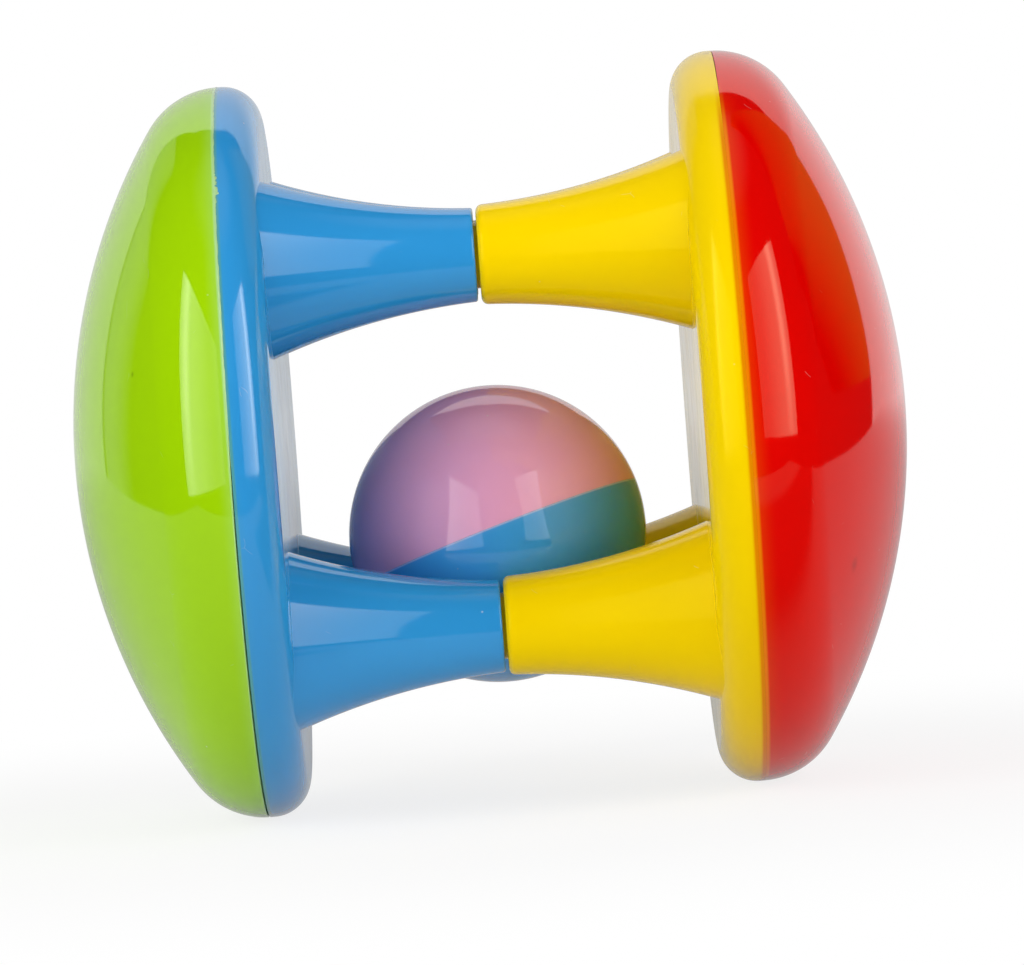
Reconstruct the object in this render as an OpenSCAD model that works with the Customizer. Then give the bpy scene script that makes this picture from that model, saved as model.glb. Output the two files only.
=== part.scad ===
// Caged-ball rattle: two hollow drums face each other on one axis, four trumpet legs of one base plug
// into four legs of the other, and a loose two-colour ball is trapped in the cage between them.
// The drum axis runs along X, +Z is up, and the two rims stand on the plane Z = 0.
// All sizes are in millimetres.

/* [Drums] */
// Diameter of both drums at their seams
drum_d = 88; // [80:1:105.6]
// Clear distance between the inner faces of the two bases
cage_gap = 49.2; // [41:0.2:60]
// Wall of the domes and of the base pans
wall = 1.8; // [1.4:0.1:2.2]

/* [Bases] */
// Depth of the rim band, from the inner face to the seam
rim_depth = 5.1; // [4.25:0.05:8]
// Outside rounding of the rim's inner edge
rim_round = 4.6; // [2:0.1:6]
// Straight land left on the rim beside the seam
seam_land = 0.5; // [0.2:0.1:1]
// Inside rounding of the pan's corner
pan_round = 1; // [0.4:0.1:1.4]

/* [Domes] */
// Height of a dome above its seam
dome_height = 20.3; // [15:0.1:28]
// Radius of the shoulder where the crown turns down to the seam
dome_shoulder = 10.1; // [6:0.1:12]
// Room left between the end of the locating lip and the rounding inside the pan
lip_end_gap = 0.3; // [0.1:0.1:1]
// Thickness of the locating lip
lip_thickness = 1; // [0.8:0.1:1.6]
// Height of the ring that ties the lip to the dome wall
lip_root = 2; // [1:0.1:3]
// Radial clearance of the lip in the base rim
lip_clearance = 0.05; // [0.02:0.01:0.1]
// Open line left between a dome and its base
seam_gap = 0.06; // [0.02:0.01:0.2]

/* [Legs] */
// Distance from the drum's edge to a leg axis, measured along the drum's radius
leg_inset = 13.17; // [12:0.01:16]
// Diameter of a leg where it meets the inner face
leg_root_d = 21; // [16:0.2:24]
// Diameter of the blue leg tips
blue_tip_d = 10.9; // [10:0.1:12.6]
// Diameter of the yellow leg tips
yellow_tip_d = 11.6; // [10:0.1:12.6]
// Radius of the hollow curve that flares a leg from tip to root
flare_radius = 79; // [50:1:150]
// Wall of the hollow legs
leg_wall = 1.8; // [1.4:0.1:2.2]
// Gap that shows between the tips of two joined legs
joint_gap = 0.4; // [0.1:0.1:1]
// Eased edge of the blue leg tips
blue_tip_edge = 0.25; // [0.1:0.05:0.6]
// Eased edge of the yellow leg tips
yellow_tip_edge = 0.6; // [0.1:0.05:0.8]

/* [Leg joints] */
// Diameter of the spigots on the yellow legs
spigot_d = 7.8; // [6:0.1:9.3]
// Length of the spigots past the middle of the cage
spigot_length = 7.5; // [5:0.1:9]
// Wall of the hollow spigots
spigot_wall = 1.6; // [1.2:0.1:2]
// Radial clearance of a spigot in its socket
socket_clearance = 0.04; // [0.02:0.01:0.08]
// Room left past the end of a spigot
socket_end_gap = 0.5; // [0.2:0.1:1]
// Thickness of the web that closes a socket
socket_web = 1.6; // [1.2:0.1:2.4]

/* [Ball] */
// How much wider the ball is than the gap between two neighbouring legs
ball_hold = 3.8; // [2:0.1:6]
// Wall of the ball
ball_wall = 1.8; // [1.5:0.1:2.4]
// Clearance between the resting ball and the legs that carry it
ball_clearance = 0.2; // [0.1:0.05:0.4]
// Length of the lap where the ball halves overlap
lap_length = 1.5; // [1:0.1:2.5]
// Thickness of the lap on the pink half
lap_thickness = 0.8; // [0.5:0.1:1]
// Clearance round the lap
lap_clearance = 0.05; // [0.02:0.01:0.1]
// Slope of the ball's seam along the drum axis, in degrees
seam_tilt = 17.4; // [0:0.1:90]
// Lean of the ball's seam from front to rear, in degrees
seam_lean = 5.8; // [0:0.1:45]

/* [Beads] */
// Diameter of the beads in the drums
drum_bead_d = 4.5; // [3:0.1:5.5]
// Diameter of the beads in the ball
ball_bead_d = 4; // [3:0.1:5]
// Clearance between the beads and the wall they lie on
bead_clearance = 0.3; // [0.2:0.05:0.5]
// Gap between neighbouring beads
bead_gap = 0.15; // [0.1:0.05:0.3]

/* [Hidden] */
$fn = 96;

// Rows of beads in a drum, outermost first, and beads in the ring round the ball's lowest bead
drum_bead_rows = [7, 5];
ball_bead_ring = 6;

// Sides of the drum axis: +1 is the red and yellow end, -1 the green and blue end
red_end = 1;
green_end = -1;

// Stations along the drum axis, measured out from the middle of the cage
drum_r = drum_d / 2;
face_z = cage_gap / 2;
seam_z = face_z + rim_depth;
apex_z = seam_z + dome_height;
tip_z = joint_gap / 2;
pan_floor_z = face_z + wall;
rim_edge = min(rim_round, rim_depth - seam_land);

// Crown arc of a dome: tangent to the shoulder arc, which starts square to the seam
shoulder_r = drum_r - dome_shoulder;
crown_run = dome_height - dome_shoulder;
crown_radius = (dome_height ^ 2 + shoulder_r ^ 2 - dome_shoulder ^ 2) / (2 * crown_run);
crown_z = apex_z - crown_radius;

// Lip of a dome inside the straight part of the base rim
lip_length = rim_depth - wall - pan_round - lip_end_gap;
lip_outer_r = drum_r - wall - lip_clearance;
lip_inner_r = lip_outer_r - lip_thickness;

// Legs stand on the corners of a square
leg_offset = (drum_r - leg_inset) / sqrt(2);
leg_root_r = leg_root_d / 2;
spigot_r = spigot_d / 2;
socket_depth = spigot_length + socket_end_gap;

// Ball seat: the ball hangs between two legs and touches neither
wide_tip_r = max(blue_tip_d, yellow_tip_d) / 2;
ball_r = leg_offset + ball_hold / 2 - wide_tip_r;
ball_inner_r = ball_r - ball_wall;
seat_reach = ball_r + wide_tip_r + ball_clearance;
ball_drop = leg_offset - sqrt(seat_reach ^ 2 - leg_offset ^ 2);
ball_z = drum_r - ball_drop;

// Beads lie on the lip of the dome, beside the pan's floor, and at the lowest point of the ball
drum_bead_r = drum_bead_d / 2;
drum_bead_z = pan_floor_z + bead_clearance + drum_bead_r;
drum_bead_pitch = drum_bead_d + bead_gap;
drum_bead_track = lip_inner_r - bead_clearance - drum_bead_r;
ball_bead_r = ball_bead_d / 2;
ball_bead_pitch = ball_bead_d + bead_gap;
ball_bead_track = ball_inner_r - bead_clearance - ball_bead_r;

// Colours of the mouldings
green = [0.56, 0.80, 0.06];
blue = [0.20, 0.55, 0.83];
yellow = [0.97, 0.84, 0.03];
red = [0.86, 0.05, 0.05];
pink = [0.87, 0.58, 0.76];
bead_white = [0.93, 0.92, 0.88];

// Centre of a leg's flare arc, which runs from the tip circle to the root circle, as [radius, height]
function flare_centre(tip_r) =
    let (rise = face_z - tip_z,
         spread = leg_root_r - tip_r,
         chord = norm([rise, spread]),
         reach = sqrt(flare_radius ^ 2 - chord ^ 2 / 4))
    [(tip_r + leg_root_r) / 2 + reach * rise / chord, (tip_z + face_z) / 2 - reach * spread / chord];

// Turns a shape modelled along +Z so that it points out along the drum axis
module on_axis(end) {
    translate([0, 0, drum_r])
        rotate([0, end * 90, 0])
            children();
}

module at_legs() {
    for (across = [-1, 1], along = [-1, 1])
        translate([across * leg_offset, along * leg_offset, 0])
            children();
}

// Half section of a dome, filled, brought in by a wall thickness
module dome_section(inset) {
    intersection() {
        translate([0, crown_z])
            circle(crown_radius - inset);
        translate([0, seam_z + seam_gap])
            square([drum_r, dome_height]);
        polygon([[0, crown_z], 2 * [shoulder_r, seam_z - crown_z] + [0, crown_z],
                 [0, 2 * crown_radius + crown_z]]);
    }
    intersection() {
        translate([shoulder_r, seam_z])
            circle(dome_shoulder - inset);
        translate([0, seam_z + seam_gap])
            square([drum_r, dome_height]);
    }
}

// Ring that enters the base rim and ties itself to the dome wall
module lip_section() {
    translate([lip_inner_r, seam_z - lip_length])
        square([lip_thickness, lip_length + lip_root]);
    intersection() {
        translate([lip_inner_r, seam_z + seam_gap])
            square([drum_r - lip_inner_r, lip_root - seam_gap]);
        translate([shoulder_r, seam_z])
            circle(dome_shoulder - wall / 2);
    }
}

module dome(end) {
    on_axis(end)
        rotate_extrude() {
            difference() {
                dome_section(0);
                dome_section(wall);
            }
            lip_section();
        }
}

// Filled half section of a pan with one rounded edge: its reach, its floor, its rounding
module pan_outline(reach, floor_z, edge_round) {
    translate([0, floor_z])
        square([reach - edge_round, seam_z - floor_z]);
    translate([0, floor_z + edge_round])
        square([reach, seam_z - floor_z - edge_round]);
    intersection() {
        translate([reach - edge_round, floor_z + edge_round])
            circle(edge_round);
        translate([0, floor_z])
            square([reach, edge_round]);
    }
}

module pan() {
    rotate_extrude()
        difference() {
            pan_outline(drum_r, face_z, rim_edge);
            pan_outline(drum_r - wall, pan_floor_z, pan_round);
        }
}

// Half section of a leg from a given height up into the pan's floor, brought in by a wall thickness
module leg_section(tip_r, from_z, to_z, inset) {
    difference() {
        translate([0, from_z])
            square([leg_root_d, to_z - from_z]);
        translate(flare_centre(tip_r))
            circle(flare_radius + inset);
    }
}

// Solid trumpet leg with an eased edge round its tip
module leg(tip_r, tip_edge) {
    rotate_extrude()
        intersection() {
            leg_section(tip_r, tip_z, face_z + wall / 2, 0);
            polygon([[0, tip_z], [tip_r - tip_edge, tip_z], [tip_r + leg_root_d, tip_z + tip_edge + leg_root_d],
                     [0, tip_z + leg_root_d + cage_gap]]);
        }
}

// Core of a hollow leg, open to the drum
module leg_core(tip_r, floor_z) {
    rotate_extrude()
        leg_section(tip_r, floor_z, seam_z, leg_wall);
}

module green_dome() {
    color(green)
        dome(green_end);
}

module red_dome() {
    color(red)
        dome(red_end);
}

// Base whose legs carry the sockets
module blue_base() {
    tip_r = blue_tip_d / 2;
    color(blue)
        on_axis(green_end)
            difference() {
                union() {
                    pan();
                    at_legs()
                        leg(tip_r, blue_tip_edge);
                }
                at_legs() {
                    leg_core(tip_r, socket_depth + socket_web);
                    cylinder(h = socket_depth, r = spigot_r + socket_clearance);
                }
            }
}

// Base whose legs carry the spigots
module yellow_base() {
    tip_r = yellow_tip_d / 2;
    core_z = tip_z + leg_wall;
    color(yellow)
        on_axis(red_end)
            difference() {
                union() {
                    pan();
                    at_legs() {
                        leg(tip_r, yellow_tip_edge);
                        translate([0, 0, -spigot_length])
                            cylinder(h = spigot_length + core_z, r = spigot_r);
                    }
                }
                at_legs() {
                    leg_core(tip_r, core_z);
                    translate([0, 0, spigot_wall - spigot_length])
                        cylinder(h = spigot_length + core_z, r = spigot_r - spigot_wall);
                }
            }
}

// Places a shape at the resting ball, turned to the ball's seam
module at_ball() {
    translate([0, 0, ball_z])
        rotate([-seam_lean, -seam_tilt, 0])
            children();
}

// Half section of the ball's wall on one side of the seam: +1 above it, -1 below it
module ball_half_section(above) {
    intersection() {
        difference() {
            circle(ball_r);
            circle(ball_inner_r);
        }
        translate([0, above > 0 ? 0 : -ball_r])
            square(ball_r);
    }
}

module ball_pink_half() {
    color(pink)
        at_ball()
            rotate_extrude() {
                ball_half_section(1);
                translate([ball_inner_r, -lap_length])
                    square([lap_thickness, lap_length + lap_thickness]);
            }
}

module ball_blue_half() {
    lap_room = lap_length + lap_clearance;
    color(blue)
        at_ball()
            rotate_extrude()
                difference() {
                    ball_half_section(-1);
                    translate([0, -lap_room])
                        square([ball_inner_r + lap_thickness + lap_clearance, lap_room]);
                    translate([0, -lap_clearance])
                        square([ball_r, lap_clearance]);
                }
}

module ball_beads() {
    ring_turn = 360 / ball_bead_ring;
    ring_tilt = asin(ball_bead_pitch / (2 * ball_bead_track * sin(ring_turn / 2)));
    color(bead_white)
        translate([0, 0, ball_z]) {
            translate([0, 0, -ball_bead_track])
                sphere(ball_bead_r);
            for (bead = [0 : ball_bead_ring - 1])
                rotate([0, ring_tilt, bead * ring_turn])
                    translate([0, 0, -ball_bead_track])
                        sphere(ball_bead_r);
        }
}

// Rows of beads heaped at the lowest part of a drum
module drum_beads(end) {
    on_axis(end)
        for (row = [0 : len(drum_bead_rows) - 1]) {
            track = drum_bead_track - row * drum_bead_pitch;
            step = 2 * asin(drum_bead_pitch / (2 * track));
            count = drum_bead_rows[row];
            for (bead = [0 : count - 1])
                rotate([0, 0, (bead - (count - 1) / 2) * step])
                    translate([end * track, 0, drum_bead_z])
                        sphere(drum_bead_r);
        }
}

module green_drum_beads() {
    color(bead_white)
        drum_beads(green_end);
}

module red_drum_beads() {
    color(bead_white)
        drum_beads(red_end);
}

green_dome();
blue_base();
yellow_base();
red_dome();
ball_pink_half();
ball_blue_half();
ball_beads();
green_drum_beads();
red_drum_beads();
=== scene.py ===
# Caged-ball rattle: the moulded finish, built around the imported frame
import math
import bmesh
import bpy
from mathutils import Matrix, Vector, geometry, noise


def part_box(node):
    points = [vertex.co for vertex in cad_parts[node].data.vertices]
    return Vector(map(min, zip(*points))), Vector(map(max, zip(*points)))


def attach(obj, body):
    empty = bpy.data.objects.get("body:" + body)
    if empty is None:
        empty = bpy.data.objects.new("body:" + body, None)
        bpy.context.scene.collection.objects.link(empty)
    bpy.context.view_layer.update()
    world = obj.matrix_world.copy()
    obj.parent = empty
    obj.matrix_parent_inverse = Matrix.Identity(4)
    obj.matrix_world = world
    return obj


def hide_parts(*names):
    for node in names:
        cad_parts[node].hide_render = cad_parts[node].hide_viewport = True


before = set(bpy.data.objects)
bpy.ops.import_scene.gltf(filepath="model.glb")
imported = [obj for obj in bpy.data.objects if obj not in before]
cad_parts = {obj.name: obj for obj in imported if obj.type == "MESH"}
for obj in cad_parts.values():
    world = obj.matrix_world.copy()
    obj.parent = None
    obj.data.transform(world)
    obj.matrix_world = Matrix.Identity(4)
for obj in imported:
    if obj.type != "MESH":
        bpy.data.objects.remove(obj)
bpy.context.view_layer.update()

mm = 0.001  # shapes are drawn in millimetres and kept in metres
fullTurn = 2 * math.pi
noDistance = 1e-6


# Reading the frame

def boxMm(*nodes):
    lows, highs = zip(*[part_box(node) for node in nodes])
    low = [min(corner[axis] for corner in lows) / mm for axis in range(3)]
    high = [max(corner[axis] for corner in highs) / mm for axis in range(3)]
    return Vector(low), Vector(high)


blueLow, blueHigh = boxMm("blue_base")
yellowLow = boxMm("yellow_base")[0]
greenLow = boxMm("green_dome")[0]
ballLow, ballHigh = boxMm("ball_pink_half", "ball_blue_half")

drum = {
    "radius": (blueHigh.z - blueLow.z) / 2,
    "axisZ": (blueHigh.z + blueLow.z) / 2,
    "seam": -blueLow.x,          # from the middle of the cage, along the drum axis
    "apex": -greenLow.x,
    "wall": 1.8,
    "around": 256,
    "greenEnd": -1,
    "redEnd": 1,
}
print("frame read: drum radius", round(drum["radius"], 2), "seam", round(drum["seam"], 2))


# Section lines: points are (radius, height, normal along the radius, normal along the axis)

def arc(centreR, centreZ, radius, fromDeg, toDeg, steps, hollow=False):
    points = []
    turn = -1 if hollow else 1
    for step in range(steps + 1):
        angle = math.radians(fromDeg + (toDeg - fromDeg) * step / steps)
        c, s = math.cos(angle), math.sin(angle)
        points.append((centreR + radius * c, centreZ + radius * s, turn * c, turn * s))
    return points


def plain(*points):  # corners that nobody sees: the normal is left to the mesh
    return [(r, z, 0, 0) for r, z in points]


def closeEnds(section):  # puts the first and the last point right on the axis
    section[0] = (0,) + section[0][1:]
    section[-1] = (0,) + section[-1][1:]
    return section


def turned(step, count):
    angle = fullTurn * step / count
    return math.cos(angle), math.sin(angle)


def softStep(value, low, high):
    share = min(1, max(0, (value - low) / (high - low)))
    return share * share * (3 - 2 * share)


# Skins: a mesh under construction that remembers the true normal of each point

def newSkin():
    skin = bmesh.new()
    skin.verts.layers.float_vector.new("facing")
    return skin


def addPoint(skin, place, where, facing):
    vert = skin.verts.new(place @ (Vector(where) * mm))
    vert[skin.verts.layers.float_vector["facing"]] = place.to_3x3() @ Vector(facing)
    return vert


def addRing(skin, place, point, around):
    r, z, nr, nz = point
    if r < noDistance:
        return [addPoint(skin, place, (0, 0, z), (0, 0, nz))]
    ring = []
    for step in range(around):
        c, s = turned(step, around)
        ring.append(addPoint(skin, place, (r * c, r * s, z), (nr * c, nr * s, nz)))
    return ring


def joinRings(skin, first, second):
    count = max(len(first), len(second))
    for step in range(count):
        after = (step + 1) % count
        if len(first) == 1:
            skin.faces.new((first[0], second[step], second[after]))
        elif len(second) == 1:
            skin.faces.new((first[step], second[0], first[after]))
        else:
            skin.faces.new((first[step], second[step], second[after], first[after]))


def joinAll(skin, rings):
    for first, second in zip(rings, rings[1:]):
        joinRings(skin, first, second)


def lathe(skin, place, section, around, start=None):
    rings = [start] if start else []
    for point in section:
        rings.append(addRing(skin, place, point, around))
    joinAll(skin, rings)
    return rings


def finishSkin(skin, name, body, node, material):
    bmesh.ops.recalc_face_normals(skin, faces=skin.faces)
    mesh = bpy.data.meshes.new(name)
    skin.to_mesh(mesh)
    skin.free()
    facing = [tuple(value.vector) for value in mesh.attributes["facing"].data]
    mesh.attributes.remove(mesh.attributes["facing"])
    mesh.shade_smooth()
    mesh.normals_split_custom_set_from_vertices(facing)
    piece = bpy.data.objects.new(name, mesh)
    bpy.context.scene.collection.objects.link(piece)
    mesh.materials.append(material)
    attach(piece, body)
    if node:
        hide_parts(node)
    print("made", name, len(mesh.polygons), "faces")


def drumPlace(end):
    return Matrix.Translation((0, 0, drum["axisZ"] * mm)) @ Matrix.Rotation(end * math.pi / 2, 4, "Y")


# Shader helpers

def sRgb(red, green, blue):
    def linear(value):
        share = value / 255
        return share / 12.92 if share <= 0.04045 else ((share + 0.055) / 1.055) ** 2.4
    return (linear(red), linear(green), linear(blue), 1)


def socketKind(value):
    if isinstance(value, (int, float)):
        return "NodeSocketFloat"
    return "NodeSocketColor" if len(value) == 4 else "NodeSocketVector"


def newGroup(name, inputs, output, outputKind="NodeSocketFloat"):
    tree = bpy.data.node_groups.new(name, "ShaderNodeTree")
    for socket, value in inputs.items():
        made = tree.interface.new_socket(name=socket, in_out="INPUT", socket_type=socketKind(value))
        made.default_value = value
    tree.interface.new_socket(name=output, in_out="OUTPUT", socket_type=outputKind)
    return tree, tree.nodes.new("NodeGroupInput").outputs, tree.nodes.new("NodeGroupOutput").inputs


def newMaterial(name):
    material = bpy.data.materials.new(name)
    material.use_nodes = True
    tree = material.node_tree
    tree.nodes.clear()
    return material, tree, addNode(tree, "ShaderNodeOutputMaterial").inputs["Surface"]


def addNode(tree, kind, **settings):
    node = tree.nodes.new(kind)
    for key, value in settings.items():
        setattr(node, key, value)
    return node


def feed(tree, socket, value):
    if isinstance(value, bpy.types.NodeSocket):
        tree.links.new(value, socket)
    else:
        socket.default_value = value


def calc(tree, operation, *values):
    node = addNode(tree, "ShaderNodeMath", operation=operation)
    for socket, value in zip(node.inputs, values):
        feed(tree, socket, value)
    return node.outputs[0]


def calcVector(tree, operation, output, *values):
    node = addNode(tree, "ShaderNodeVectorMath", operation=operation)
    for socket, value in zip(node.inputs, values):
        feed(tree, socket, value)
    return node.outputs[output]


def fade(tree, value, low, high, toLow, toHigh):
    node = addNode(tree, "ShaderNodeMapRange", interpolation_type="SMOOTHSTEP")
    sockets = ("Value", "From Min", "From Max", "To Min", "To Max")
    for socket, number in zip(sockets, (value, low, high, toLow, toHigh)):
        feed(tree, node.inputs[socket], number)
    return node.outputs["Result"]


def mixColour(tree, share, first, second):
    node = addNode(tree, "ShaderNodeMix", data_type="RGBA")
    feed(tree, node.inputs[0], share)
    feed(tree, node.inputs[6], first)
    feed(tree, node.inputs[7], second)
    return node.outputs[2]


def mixShader(tree, share, first, second):
    node = addNode(tree, "ShaderNodeMixShader")
    feed(tree, node.inputs[0], share)
    feed(tree, node.inputs[1], first.outputs[0])
    feed(tree, node.inputs[2], second.outputs[0])
    return node


def splitXyz(tree, vector):
    node = addNode(tree, "ShaderNodeSeparateXYZ")
    feed(tree, node.inputs[0], vector)
    return node.outputs


def coordinates(tree, kind):
    return addNode(tree, "ShaderNodeTexCoord").outputs[kind]


def noiseOn(tree, vector, scale, detail=2.0):
    node = addNode(tree, "ShaderNodeTexNoise")
    feed(tree, node.inputs["Vector"], vector)
    feed(tree, node.inputs["Scale"], scale)
    node.inputs["Detail"].default_value = detail
    return node.outputs["Fac"]


# Effects shared by the plastics

def buildMouldRipple():
    tree, given, result = newGroup("mouldRipple", {"Waves": 90, "Finer": 22, "Grain": 0.03}, "Height")
    here = coordinates(tree, "Object")
    swell = noiseOn(tree, here, given["Waves"])
    grain = noiseOn(tree, here, calc(tree, "MULTIPLY", given["Waves"], given["Finer"]), detail=3)
    tiny = calc(tree, "MULTIPLY", grain, given["Grain"])
    feed(tree, result["Height"], calc(tree, "ADD", swell, tiny))
    return tree


def buildPigmentDrift():
    tree, given, result = newGroup(
        "pigmentDrift",
        {"Colour": (1, 1, 1, 1), "Shade": (0.5, 0.5, 0.5, 1),
         "Cloud": 30, "From": 0.35, "To": 0.7, "Amount": 0.5},
        "Colour", "NodeSocketColor")
    cloud = noiseOn(tree, coordinates(tree, "Object"), given["Cloud"], detail=3)
    share = fade(tree, cloud, given["From"], given["To"], 0, given["Amount"])
    feed(tree, result["Colour"], mixColour(tree, share, given["Colour"], given["Shade"]))
    return tree


def buildHairScuffs():
    tree, given, result = newGroup(
        "hairScuffs",
        {"Spread": 150, "Width": 0.008, "Bends": 120, "Sway": 0.006,
         "Patches": 330, "Share": 0.6, "Soft": 0.06},
        "Mask")
    here = coordinates(tree, "Object")
    bend = addNode(tree, "ShaderNodeTexNoise")
    feed(tree, bend.inputs["Vector"], here)
    feed(tree, bend.inputs["Scale"], given["Bends"])
    nudge = addNode(tree, "ShaderNodeVectorMath", operation="SCALE")
    feed(tree, nudge.inputs[0], bend.outputs["Color"])
    feed(tree, nudge.inputs["Scale"], given["Sway"])
    cells = addNode(tree, "ShaderNodeTexVoronoi", feature="DISTANCE_TO_EDGE")
    feed(tree, cells.inputs["Vector"], calcVector(tree, "ADD", "Vector", here, nudge.outputs[0]))
    feed(tree, cells.inputs["Scale"], given["Spread"])
    line = fade(tree, cells.outputs["Distance"], 0, given["Width"], 1, 0)
    patch = noiseOn(tree, here, given["Patches"])
    kept = fade(tree, patch, given["Share"], calc(tree, "ADD", given["Share"], given["Soft"]), 0, 1)
    feed(tree, result["Mask"], calc(tree, "MULTIPLY", line, kept))
    return tree


def buildDustSpecks():
    tree, given, result = newGroup("dustSpecks", {"Spacing": 420, "Size": 0.08, "Rarity": 0.9}, "Mask")
    cells = addNode(tree, "ShaderNodeTexVoronoi")
    feed(tree, cells.inputs["Vector"], coordinates(tree, "Object"))
    feed(tree, cells.inputs["Scale"], given["Spacing"])
    dot = fade(tree, cells.outputs["Distance"], 0, given["Size"], 1, 0)
    pick = addNode(tree, "ShaderNodeSeparateColor")
    feed(tree, pick.inputs[0], cells.outputs["Color"])
    kept = calc(tree, "GREATER_THAN", pick.outputs[0], given["Rarity"])
    feed(tree, result["Mask"], calc(tree, "MULTIPLY", dot, kept))
    return tree


# Painted light and shade along a seam: pale highlight lines, a darker groove and colour bounced from the next
# part
def buildSeamPaintedLight():  # a core with a squared tail on both sides of the seam
    tree, given, result = newGroup(
        "seamPaintedLight",
        {"Facing": (1, 0, 0), "Seam": drum["seam"] * mm, "Core": 0.0005, "Full": 0.25,
         "Width": 0.002, "Tail": 0.2, "FadeFrom": 1.0, "FadeTo": 1.1},
        "Mask")
    here = coordinates(tree, "Object")
    along = calcVector(tree, "DOT_PRODUCT", "Value", here, given["Facing"])
    away = calc(tree, "ABSOLUTE", calc(tree, "SUBTRACT", along, given["Seam"]))
    near = calc(tree, "SUBTRACT", 1, calc(tree, "DIVIDE", away, given["Width"]))
    near.node.use_clamp = True
    tail = calc(tree, "MULTIPLY", calc(tree, "POWER", near, 2), given["Tail"])
    core = fade(tree, away, calc(tree, "MULTIPLY", given["Core"], given["Full"]), given["Core"], 1, 0)
    mask = calc(tree, "ADD", core, tail)
    mask.node.use_clamp = True
    below = fade(tree, splitXyz(tree, here)["Z"], given["FadeFrom"], given["FadeTo"], 1, 0)
    feed(tree, result["Mask"], calc(tree, "MULTIPLY", mask, below))
    return tree


faceDrag = {
    "square": (0.985, 0.999),    # how far the normal lies along the drum axis
    "marks": (0.3, 0.7), "spread": (0.55, 1.35),
}


def buildFaceDrag():
    tree, given, result = newGroup("faceDrag", {"Scale": 160, "Rough": 0.06}, "Rough")
    along = splitXyz(tree, coordinates(tree, "Normal"))["X"]
    square = fade(tree, calc(tree, "ABSOLUTE", along), *faceDrag["square"], 0, 1)
    marks = noiseOn(tree, coordinates(tree, "Object"), given["Scale"], detail=4)
    marks = fade(tree, marks, *faceDrag["marks"], *faceDrag["spread"])
    rough = calc(tree, "MULTIPLY", marks, given["Rough"])
    feed(tree, result["Rough"], calc(tree, "MULTIPLY", rough, square))
    return tree


def buildMouldSpot():
    tree, given, result = newGroup("mouldSpot", {"Centre": (0, 0, 0), "Size": 0.0005}, "Mask")
    away = calcVector(tree, "DISTANCE", "Value", coordinates(tree, "Object"), given["Centre"])
    feed(tree, result["Mask"], fade(tree, away, 0, given["Size"], 1, 0))
    return tree


effects = {tree.name: tree for tree in (
    buildMouldRipple(), buildPigmentDrift(), buildHairScuffs(), buildDustSpecks(),
    buildSeamPaintedLight(), buildFaceDrag(), buildMouldSpot())}
print("effects ready:", ", ".join(sorted(effects)))


def useEffect(tree, name, **values):
    node = addNode(tree, "ShaderNodeGroup", node_tree=effects[name])
    for socket, value in values.items():
        feed(tree, node.inputs[socket], value)
    return node.outputs[0]


def tinted(tree, colour, mask, share, tint):
    return mixColour(tree, calc(tree, "MULTIPLY", mask, share), colour, sRgb(*tint))


def makePlastic(name, look):
    material, tree, surface = newMaterial(name)
    shader = addNode(tree, "ShaderNodeBsdfPrincipled")
    feed(tree, surface, shader.outputs["BSDF"])
    shader.inputs["IOR"].default_value = look["ior"]
    shader.inputs["Specular IOR Level"].default_value = look["specular"]
    shader.inputs["Specular Tint"].default_value = look["glint"] + (1,)

    colour = useEffect(tree, "pigmentDrift", Colour=sRgb(*look["colour"]), Shade=sRgb(*look["shade"]),
                       Cloud=look["cloud"], Amount=look["drift"])
    # the seam tint is painted light and shade: pale highlight lines, a darker groove and colour bounced from
    # the next part
    if look.get("seamPaintedColour"):
        fadeFrom, fadeTo = look["seamTop"]
        glow = useEffect(tree, "seamPaintedLight", Facing=look["seamFacing"], Seam=look["seamAt"] * mm,
                         Core=look["seamCore"] * mm, Width=look["seamWidth"] * mm, Tail=look["seamTail"],
                         FadeFrom=fadeFrom * mm, FadeTo=fadeTo * mm)
        colour = tinted(tree, colour, glow, look["seamShare"], look["seamPaintedColour"])
    if look.get("spotAt"):
        spot = useEffect(tree, "mouldSpot", Centre=Vector(look["spotAt"]) * mm, Size=look["spotSize"] * mm)
        colour = tinted(tree, colour, spot, look["spotShare"], look["spotColour"])
    dust = useEffect(tree, "dustSpecks", Rarity=look["dustRarity"])
    colour = tinted(tree, colour, dust, look["dustShare"], look["dustColour"])
    scuffs = useEffect(tree, "hairScuffs", Share=look["scuffShare"])
    colour = tinted(tree, colour, scuffs, look["scuffPale"], look["dustColour"])
    feed(tree, shader.inputs["Base Color"], colour)

    rough = calc(tree, "MULTIPLY_ADD", scuffs, look["scuffRough"], look["rough"])
    rough = calc(tree, "ADD", rough, calc(tree, "MULTIPLY", dust, look["dustRough"]))
    if look["faceRough"]:
        face = useEffect(tree, "faceDrag", Scale=look["faceScale"], Rough=look["faceRough"])
        rough = calc(tree, "ADD", rough, face)
    feed(tree, shader.inputs["Roughness"], rough)

    ripple = useEffect(tree, "mouldRipple", Waves=look["waves"], Grain=look["grain"])
    height = calc(tree, "SUBTRACT", ripple, calc(tree, "MULTIPLY", scuffs, look["scuffDepth"]))
    bump = addNode(tree, "ShaderNodeBump")
    bump.inputs["Strength"].default_value = look["rippleStrength"]
    bump.inputs["Distance"].default_value = look["rippleDepth"] * mm
    feed(tree, bump.inputs["Height"], height)
    feed(tree, shader.inputs["Normal"], bump.outputs["Normal"])
    return material


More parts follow.
